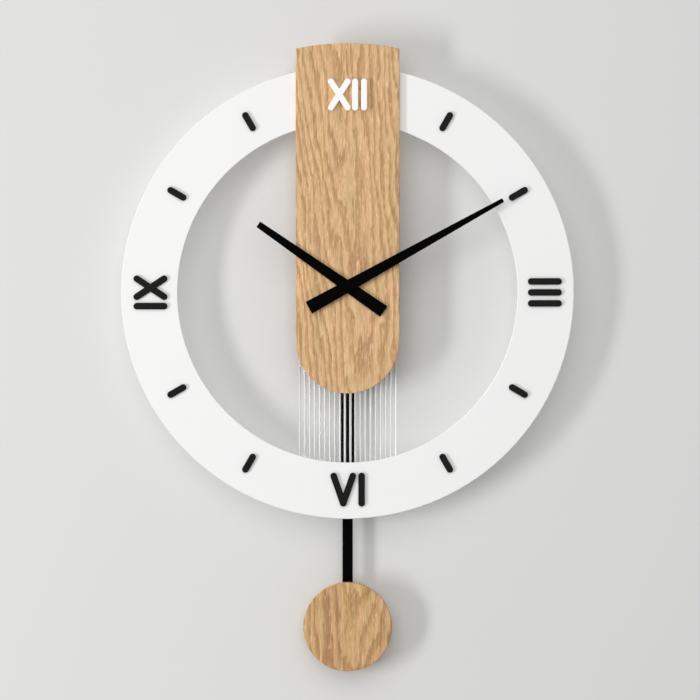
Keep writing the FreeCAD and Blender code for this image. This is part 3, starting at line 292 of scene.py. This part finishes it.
def cellMaterial(name):
    # a plain grey sleeve with a darker end band, bare metal at both ends
    look = cellLook
    material, shader = newMaterial(name)
    across = put(material, "SeparateXYZ", {0: place(material)}).outputs[0]
    bare = calc(material, "GREATER_THAN", calc(material, "ABSOLUTE", across), look["sleeveEnd"])
    band = calc(material, "GREATER_THAN", across, look["bandStart"])
    fine = noise(material, place(material), look["grain"])
    colour = blendColours(material, band, look["sleeve"], look["band"])
    colour = blendColours(material, bare, colour, look["metal"])
    colour = shaded(material, colour, remap(material, fine, *mostNoise, *look["tone"]))
    feed(material, shader.inputs["Base Color"], colour)
    feed(material, shader.inputs["Metallic"], bare)
    feed(material, shader.inputs["Roughness"], remap(material, fine, *mostNoise, *look["roughness"]))
    bump(material, shader, fine, look["bumpStrength"], look["bumpDepth"])
    return material


# Lacquered copper wire

copperLook = {
    "dark": rgb(0.62, 0.20, 0.07), "bright": rgb(0.86, 0.38, 0.16), "grain": 0.5, "roughness": (0.25, 0.42),
    "coat": 0.5, "coatRoughness": 0.2,
}


def copperMaterial(name):
    look = copperLook
    material, shader = newMaterial(name, Metallic=1.0, Coat_Weight=look["coat"],
                                   Coat_Roughness=look["coatRoughness"])
    fine = noise(material, place(material), look["grain"])
    feed(material, shader.inputs["Base Color"], blendColours(material, fine, look["dark"], look["bright"]))
    feed(material, shader.inputs["Roughness"], remap(material, fine, *mostNoise, *look["roughness"]))
    return material


# Clear acrylic

clearLook = {
    "colour": rgb(0.995, 0.995, 0.992), "ior": 1.49, "gloss": rgb(0.12, 0.12, 0.12),
    "lampLight": rgb(0.97, 0.975, 0.975),
    "lineWidth": 1.05, "lineSoftness": 0.5, "lineShare": 1.0, "lineRoughness": 0.4,
    # lines show behind this place only, and end this many pitches past the outer valleys
    "backFrom": -19.6, "overrunPitches": 0.2,
    "scuffSize": 9.0, "scuffStretch": 0.2, "scuffDetail": 1.0, "scuffPart": (0.3, 0.7),
    "roughness": (0.01, 0.025),
}


def paintedReflectionLines(material):
    # painted reflection: 1 along the valleys beside the reeds, on the back face only, and 0 elsewhere; these
    # lines stand in for the light the curved reeds send back by total internal reflection
    look = clearLook
    axes = put(material, "SeparateXYZ", {0: place(material)}).outputs
    pitches = calc(material, "DIVIDE", axes[0], reeds["pitch"])
    offValley = calc(material, "ABSOLUTE", calc(material, "SUBTRACT", calc(material, "FRACT", pitches), 0.5))
    gap = calc(material, "MULTIPLY", offValley, reeds["pitch"])
    line = remap(material, gap, look["lineWidth"] / 2 - look["lineSoftness"] / 2,
                 look["lineWidth"] / 2 + look["lineSoftness"] / 2, look["lineShare"], 0.0, smooth=True)
    outermost = reeds["count"] / 2 + look["overrunPitches"]
    among = calc(material, "LESS_THAN", calc(material, "ABSOLUTE", pitches), outermost)
    onBack = calc(material, "GREATER_THAN", axes[1], look["backFrom"])
    return calc(material, "MULTIPLY", calc(material, "MULTIPLY", line, among), onBack)


def clearMaterial(name):
    # lamps shine through it, so the wall behind it stays lit
    look = clearLook
    material, shader = newMaterial(name, IOR=look["ior"], Base_Color=look["colour"],
                                   Specular_Tint=look["gloss"])
    # painted reflection: along the valleys the sheet turns opaque white and rougher, standing in for the
    # light the reeds reflect inside
    line = paintedReflectionLines(material)
    where = place(material, (1, 1, look["scuffStretch"]))
    scuff = noise(material, where, look["scuffSize"], look["scuffDetail"])
    polish = remap(material, scuff, *look["scuffPart"], *look["roughness"])
    reflectionLineRoughness = calc(material, "MULTIPLY", line, look["lineRoughness"])
    feed(material, shader.inputs["Transmission Weight"], calc(material, "SUBTRACT", 1.0, line))
    feed(material, shader.inputs["Roughness"], calc(material, "ADD", polish, reflectionLineRoughness))
    path = put(material, "LightPath").outputs
    lampRays = calc(material, "MAXIMUM", path["Is Shadow Ray"], path["Is Diffuse Ray"])
    swapSurface(material, shader, lampRays, put(material, "BsdfTransparent", {"Color": look["lampLight"]}))
    return material


# The finishes, named as the slots of the pieces are

finishes = {
    "oak": oakMaterial("boardOak", **oakLook["board"]),
    "clear_acrylic": clearMaterial("clearAcrylic"),
    "circuit": circuitMaterial("circuitLacquer"),
    "cell": cellMaterial("cellSleeve"),
    "copper_wire": copperMaterial("copperWire"),
    "ring_white": plainMaterial("ringPaint", (0.90, 0.90, 0.895), roughness=0.42, grainSize=1.1, depth=0.012,
                                drift=0.008, specular=0.35),
    "black_numeral": plainMaterial("blackNumeral", (0.0055, 0.005, 0.0045), roughness=0.5, grainSize=0.5,
                                   depth=0.02, drift=0.12, specular=0.12),
    "white_numeral": plainMaterial("whiteNumeral", (0.97, 0.96, 0.93), roughness=0.42, grainSize=0.5,
                                   depth=0.01, drift=0.008, specular=0.3),
    "black_sheet": plainMaterial("blackSheet", (0.0009, 0.0009, 0.0009), roughness=0.6, grainSize=0.25,
                                 depth=0.012, drift=0.2, specular=0.02),
    "movement_black": plainMaterial("blackMoulding", (0.014, 0.014, 0.015), roughness=0.55, grainSize=0.35,
                                    depth=0.05, drift=0.2),
    "wheel_plastic": plainMaterial("creamMoulding", (0.74, 0.71, 0.62), roughness=0.45, grainSize=0.4,
                                   depth=0.008, drift=0.03),
    "plate_plastic": plainMaterial("greyMoulding", (0.42, 0.42, 0.41), roughness=0.5, grainSize=0.4,
                                   depth=0.015, drift=0.05),
    "bobbin_plastic": plainMaterial("greenMoulding", (0.05, 0.19, 0.08), roughness=0.45, grainSize=0.4,
                                    depth=0.01, drift=0.06),
    "chip_black": plainMaterial("resinDrop", (0.008, 0.008, 0.008), roughness=0.2, grainSize=0.6, depth=0.02,
                                drift=0.15),
    "brass": plainMaterial("turnedBrass", (0.80, 0.56, 0.22), roughness=0.28, grainSize=0.12, depth=0.01,
                           drift=0.06, metal=1.0, stretch=(0.15, 1, 0.15)),
    "steel": plainMaterial("zincPlate", (0.60, 0.60, 0.59), roughness=0.32, grainSize=0.25, depth=0.008,
                           drift=0.08, metal=1.0),
    "core_steel": plainMaterial("stampedSteel", (0.34, 0.34, 0.35), roughness=0.42, grainSize=0.2,
                                depth=0.02, drift=0.10, metal=1.0),
    "magnet": plainMaterial("sinteredMagnet", (0.075, 0.075, 0.08), roughness=0.62, grainSize=0.18,
                            depth=0.03, drift=0.2, metal=0.3),
}
bobOak = oakMaterial("bobOak", **oakLook["bob"])

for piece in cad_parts.values():
    for holder in piece.material_slots:
        holder.material = finishes[holder.material.name.split(".")[0]]
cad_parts["pendulum_bob"].material_slots[0].material = bobOak
print("finishes assigned to", len(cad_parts), "pieces")


# Node trees that grow a piece

def newTree(name, sizes):
    tree = bpy.data.node_groups.new(name, "GeometryNodeTree")
    for label, kind in sizes.items():
        tree.interface.new_socket(label, in_out="INPUT", socket_type="NodeSocket" + kind)
    tree.interface.new_socket("Geometry", in_out="OUTPUT", socket_type="NodeSocketGeometry")
    return tree, tree.nodes.new("NodeGroupInput").outputs


def step(tree, kind, inputs=None, **settings):
    made = tree.nodes.new(kind)
    for key, value in settings.items():
        setattr(made, key, value)
    for key, value in (inputs or {}).items():
        for single in value if isinstance(value, list) else [value]:
            if isinstance(single, bpy.types.NodeSocket):
                tree.links.new(single, made.inputs[key])
            else:
                made.inputs[key].default_value = single
    return made.outputs


def sums(tree, operation, first, second=0.0, third=0.0):
    return step(tree, "ShaderNodeMath", {0: first, 1: second, 2: third}, operation=operation)[0]


def closeTree(tree, geometry, material, sharpAngle):
    # smooth faces with sharp edges where they meet at more than the given angle
    soft = step(tree, "GeometryNodeSetShadeSmooth", {
        "Geometry": geometry, "Shade Smooth": True}, domain="FACE")[0]
    steep = step(tree, "FunctionNodeCompare", {
        0: step(tree, "GeometryNodeInputMeshEdgeAngle")[0], 1: math.radians(sharpAngle)},
        operation="GREATER_THAN")[0]
    crisp = step(tree, "GeometryNodeSetShadeSmooth", {
        "Geometry": soft, "Selection": steep, "Shade Smooth": False}, domain="EDGE")[0]
    real = step(tree, "GeometryNodeRealizeInstances", {"Geometry": crisp})[0]
    done = step(tree, "GeometryNodeSetMaterial", {"Geometry": real, "Material": material})[0]
    tree.links.new(done, tree.nodes.new("NodeGroupOutput").inputs[0])


def grow(name, tree, values, material, body, slotName, *replaced):
    # runs a tree once on a holder and keeps its result as a plain mesh
    holder = bpy.data.objects.new(name + "Holder", bpy.data.meshes.new(name + "Holder"))
    scene.collection.objects.link(holder)
    modifier = holder.modifiers.new("grow", "NODES")
    modifier.node_group = tree
    ids = {item.name: item.identifier for item in tree.interface.items_tree if item.in_out == "INPUT"}
    for label, value in values.items():
        modifier[ids[label]] = value
    ready = holder.evaluated_get(bpy.context.evaluated_depsgraph_get())
    mesh = bpy.data.meshes.new_from_object(ready)
    mesh.name = name
    mesh.materials.clear()
    mesh.materials.append(material)
    mesh.polygons.foreach_set("material_index", [0] * len(mesh.polygons))
    bpy.data.objects.remove(holder)
    piece = bpy.data.objects.new(name, mesh)
    scene.collection.objects.link(piece)
    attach(piece, body)
    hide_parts(*replaced)
    print(name, "has", len(mesh.polygons), "faces")


# The reeded strip

panelLook = {
    "relief": 1.4, "facetsPerReed": 16, "sharpAngle": 30, "mergeGap": 0.001,
    # the movement's bushing goes through one hole and screws through pairs of them, given across and height
    "bushingHole": (0, -47), "bushingHoleRadius": 4.8,
    "screwHoles": [(34, 15), (34, -59), (30, 111.67), (30, -215.67)], "screwHoleRadius": 1.7,
    "drillSides": 32, "drillLength": 20.0,
}


def reedHeight(tree, given, across):
    # each reed is an arc through its two valleys and its crest
    halfPitch = sums(tree, "MULTIPLY", given["Pitch"], 0.5)
    radius = sums(tree, "DIVIDE", sums(tree, "ADD", sums(tree, "MULTIPLY", halfPitch, halfPitch),
                                       sums(tree, "MULTIPLY", given["Relief"], given["Relief"])),
                  sums(tree, "MULTIPLY", given["Relief"], 2.0))
    nearest = sums(tree, "ROUND", sums(tree, "DIVIDE", across, given["Pitch"]))
    within = sums(tree, "SUBTRACT", across, sums(tree, "MULTIPLY", nearest, given["Pitch"]))
    chord = sums(tree, "SQRT", sums(tree, "SUBTRACT", sums(tree, "MULTIPLY", radius, radius),
                                    sums(tree, "MULTIPLY", within, within)))
    lift = sums(tree, "SUBTRACT", given["Relief"], radius)
    rise = sums(tree, "MAXIMUM", sums(tree, "ADD", chord, lift), 0.0)
    outerReed = sums(tree, "MULTIPLY", sums(tree, "SUBTRACT", given["Reeds"], 1.0), 0.5)
    reeded = sums(tree, "LESS_THAN", sums(tree, "ABSOLUTE", nearest), sums(tree, "ADD", outerReed, 0.5))
    return sums(tree, "MULTIPLY", rise, reeded)


def drilled(tree, sheet, look, middle):
    holes = [(*look["bushingHole"], look["bushingHoleRadius"])]
    for across, height in look["screwHoles"]:
        holes += [(side * across, height, look["screwHoleRadius"]) for side in (-1, 1)]
    drills = []
    for across, height, radius in holes:
        drill = step(tree, "GeometryNodeMeshCylinder", {
            "Vertices": look["drillSides"], "Radius": radius * mm, "Depth": look["drillLength"] * mm})[0]
        drills.append(step(tree, "GeometryNodeTransform", {
            "Geometry": drill, "Translation": (across * mm, (height - middle) * mm, 0)})[0])
    bits = step(tree, "GeometryNodeJoinGeometry", {0: drills})[0]
    return step(tree, "GeometryNodeMeshBoolean", {
        "Mesh 1": sheet, "Mesh 2": bits}, operation="DIFFERENCE")[0]


def reededTree(look, back, middle):
    # a flat sheet with round reeds down its back; it is drawn lying down, front up, and then stood up
    tree, given = newTree("reededSheet", {
        "Width": "Float", "Height": "Float", "Pitch": "Float", "Reeds": "Int", "Relief": "Float",
        "Thickness": "Float", "Facets": "Int"})
    pitches = sums(tree, "ROUND", sums(tree, "DIVIDE", given["Width"], given["Pitch"]))
    columns = sums(tree, "MULTIPLY_ADD", pitches, given["Facets"], 1.0)
    sheet = step(tree, "GeometryNodeMeshGrid", {"Size X": given["Width"], "Size Y": given["Height"],
                                                "Vertices X": columns, "Vertices Y": 2})[0]
    axes = step(tree, "ShaderNodeSeparateXYZ", {0: step(tree, "GeometryNodeInputPosition")[0]})
    level = sums(tree, "MULTIPLY", reedHeight(tree, given, axes[0]), -1.0)
    relief = step(tree, "ShaderNodeCombineXYZ", {2: level})[0]
    reeded = step(tree, "GeometryNodeSetPosition", {"Geometry": sheet, "Offset": relief})[0]
    pulled = step(tree, "GeometryNodeExtrudeMesh", {
        "Mesh": reeded, "Offset Scale": 0.0, "Individual": False})
    depth = sums(tree, "SUBTRACT", given["Thickness"], given["Relief"])
    flat = step(tree, "ShaderNodeCombineXYZ", {0: axes[0], 1: axes[1], 2: depth})[0]
    front = step(tree, "GeometryNodeSetPosition", {
        "Geometry": pulled[0], "Selection": pulled[1], "Position": flat})[0]
    reeded = step(tree, "GeometryNodeFlipFaces", {"Mesh": reeded})[0]
    sheet = step(tree, "GeometryNodeJoinGeometry", {0: [front, reeded]})[0]
    sheet = step(tree, "GeometryNodeMergeByDistance", {
        "Geometry": sheet, "Distance": look["mergeGap"] * mm})[0]
    sheet = drilled(tree, sheet, look, middle)
    stood = (0, (back - look["relief"]) * mm, middle * mm)
    sheet = step(tree, "GeometryNodeTransform", {
        "Geometry": sheet, "Rotation": (math.radians(90), 0, 0), "Translation": stood})[0]
    closeTree(tree, sheet, finishes["clear_acrylic"], look["sharpAngle"])
    return tree


(left, front, foot), (right, back, top) = boxInMm("reeded_panel")
grow("reededSheet", reededTree(panelLook, back, (foot + top) / 2), {
    "Width": (right - left) * mm, "Height": (top - foot) * mm, "Thickness": (back - front) * mm,
    "Pitch": reeds["pitch"] * mm, "Reeds": reeds["count"], "Relief": panelLook["relief"] * mm,
    "Facets": panelLook["facetsPerReed"]},
    finishes["clear_acrylic"], "clock_frame", "clear_acrylic", "reeded_panel")


# The two windings

coilLook = {
    "wireRadius": 0.11, "stepsPerTurn": 40, "wireSides": 6, "barrelSides": 48, "sharpAngle": 60,
    # outer radius, radius of the barrel inside, axis of the frame, and the turn in degrees that lays it so
    "motorWinding": {"node": "motor_coil", "radius": 2.9, "barrel": 1.9, "axis": 0, "turn": (0, 90, 0)},
    "driveWinding": {"node": "drive_coil", "radius": 6.8, "barrel": 2.3, "axis": 1, "turn": (90, 0, 0)},
}


def windingTree(name, turn, centre):
    # one layer of round wire side by side over a plain body of the layers below it
    look = coilLook
    tree, given = newTree(name, {"Radius": "Float", "Barrel": "Float", "Length": "Float", "Wire": "Float"})
    wireWidth = sums(tree, "MULTIPLY", given["Wire"], 2.0)
    run = sums(tree, "SUBTRACT", given["Length"], wireWidth)
    turns = sums(tree, "DIVIDE", run, wireWidth)
    lie = sums(tree, "SUBTRACT", given["Radius"], given["Wire"])
    path = step(tree, "GeometryNodeCurveSpiral", {
        "Resolution": look["stepsPerTurn"], "Rotations": turns, "Start Radius": lie, "End Radius": lie,
        "Height": run})[0]
    halfBack = step(tree, "ShaderNodeCombineXYZ", {2: sums(tree, "MULTIPLY", run, -0.5)})[0]
    path = step(tree, "GeometryNodeTransform", {"Geometry": path, "Translation": halfBack})[0]
    section = step(tree, "GeometryNodeCurvePrimitiveCircle", {
        "Resolution": look["wireSides"], "Radius": given["Wire"]})[0]
    wire = step(tree, "GeometryNodeCurveToMesh", {
        "Curve": path, "Profile Curve": section, "Fill Caps": True})[0]
    mean = sums(tree, "MULTIPLY", sums(tree, "ADD", lie, given["Barrel"]), 0.5)
    hoop = step(tree, "GeometryNodeCurvePrimitiveCircle", {
        "Resolution": look["barrelSides"], "Radius": mean})[0]
    block = step(tree, "GeometryNodeCurvePrimitiveQuadrilateral", {
        "Width": sums(tree, "SUBTRACT", lie, given["Barrel"]), "Height": given["Length"]})[0]
    core = step(tree, "GeometryNodeCurveToMesh", {"Curve": hoop, "Profile Curve": block})[0]
    both = step(tree, "GeometryNodeJoinGeometry", {0: [wire, core]})[0]
    both = step(tree, "GeometryNodeTransform", {
        "Geometry": both, "Rotation": turn, "Translation": centre})[0]
    closeTree(tree, both, finishes["copper_wire"], look["sharpAngle"])
    return tree


for name in ("motorWinding", "driveWinding"):
    look = coilLook[name]
    low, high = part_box(look["node"])
    turn = tuple(math.radians(angle) for angle in look["turn"])
    grow(name, windingTree(name, turn, tuple((low + high) / 2)), {
        "Radius": look["radius"] * mm, "Barrel": look["barrel"] * mm,
        "Length": high[look["axis"]] - low[look["axis"]], "Wire": coilLook["wireRadius"] * mm},
        finishes["copper_wire"], "clock_frame", "copper_wire", look["node"])
print("reeded sheet and windings made")


# The wall

wallLook = {
    "size": 6.0, "colour": rgb(0.728, 0.730, 0.722), "roughness": 0.9, "specular": 0.1,
    "fineSize": 2.5, "fineDetail": 3.0, "fineTone": (0.996, 1.004),
    "slowSize": 300.0, "slowDetail": 1.0, "slowTone": (0.99, 1.01),
    "bumpStrength": 0.1, "bumpDepth": 0.05,
}


def wallMaterial(look):
    # matt paint seen from the front only, so the back of the clock can be looked at through it
    material, shader = newMaterial("wallPaint", Roughness=look["roughness"],
                                   Specular_IOR_Level=look["specular"])
    fine = noise(material, place(material), look["fineSize"], look["fineDetail"])
    slow = noise(material, place(material), look["slowSize"], look["slowDetail"])
    tone = calc(material, "MULTIPLY", remap(material, fine, *mostNoise, *look["fineTone"]),
                remap(material, slow, *mostNoise, *look["slowTone"]))
    feed(material, shader.inputs["Base Color"], shaded(material, look["colour"], tone))
    bump(material, shader, fine, look["bumpStrength"], look["bumpDepth"])
    fromBehind = put(material, "NewGeometry").outputs["Backfacing"]
    gone = calc(material, "MAXIMUM", fromBehind, put(material, "LightPath").outputs["Is Shadow Ray"])
    swapSurface(material, shader, gone, put(material, "BsdfTransparent"))
    return material


half = wallLook["size"] / 2
wallMesh = bpy.data.meshes.new("wall")
corners = [(-half, 0, -half), (half, 0, -half), (half, 0, half), (-half, 0, half)]
wallMesh.from_pydata(corners, [], [(0, 1, 2, 3)])
wall = bpy.data.objects.new("wall", wallMesh)
scene.collection.objects.link(wall)
wallMesh.materials.append(wallMaterial(wallLook))
print("wall placed")


# Lamps and the room's light, in metres and watts

lightLook = {
    "aim": (0.0, 0.0, -0.1), "roomColour": rgb(1.0, 1.0, 1.0), "roomLight": 0.44, "roomShown": 0.74,
    "lamps": {
        "keyLamp": {"power": 42.0, "size": (0.42, 1.4), "origin": (-2.45, -1.60, -0.65), "mirrored": False},
        "fillLamp": {"power": 39.5, "size": (3.0, 3.0), "origin": (-0.4, -2.7, 1.3), "mirrored": True},
        "backLamp": {"power": 30.0, "size": (1.6, 1.6), "origin": (-1.2, 2.4, 1.0), "mirrored": True},
    },
}


def addLamp(name, power, size, origin, mirrored):
    data = bpy.data.lights.new(name, "AREA")
    data.shape = "RECTANGLE"
    data.size, data.size_y = size
    data.energy = power
    lamp = bpy.data.objects.new(name, data)
    lamp.location = origin
    lamp.rotation_euler = (Vector(lightLook["aim"]) - Vector(origin)).to_track_quat("-Z", "Y").to_euler()
    lamp.visible_glossy = mirrored
    lamp.visible_transmission = False
    scene.collection.objects.link(lamp)


for name, lamp in lightLook["lamps"].items():
    addLamp(name, **lamp)

# the room lights the clock less than it shows behind it, through the strip and in its gloss
world = bpy.data.worlds.new("studio")
world.use_nodes = True
path = put(world, "LightPath").outputs
mirrored = calc(world, "MAXIMUM", path["Is Glossy Ray"], path["Is Transmission Ray"])
seen = calc(world, "MAXIMUM", path["Is Camera Ray"], mirrored)
strength = remap(world, seen, 0.0, 1.0, lightLook["roomLight"], lightLook["roomShown"])
backdrop = world.node_tree.nodes["Background"].inputs
feed(world, backdrop["Color"], lightLook["roomColour"])
feed(world, backdrop["Strength"], strength)
scene.world = world
print("lamps and room placed")


# The camera, in metres; the frame's width is measured at the ring's face

viewLook = {"across": 0.0020, "height": -0.1003, "distance": 3.0, "frameWidth": 0.5873, "sensorWidth": 36.0}

camera = bpy.data.objects.new("camera", bpy.data.cameras.new("camera"))
camera.data.sensor_width = viewLook["sensorWidth"]
camera.data.lens = viewLook["sensorWidth"] * viewLook["distance"] / viewLook["frameWidth"]
ringFace = boxInMm("dial_ring")[0][1] * mm
camera.location = (viewLook["across"], ringFace - viewLook["distance"], viewLook["height"])
camera.rotation_euler = (math.radians(90), 0, 0)
scene.collection.objects.link(camera)
scene.camera = camera
print("camera placed")
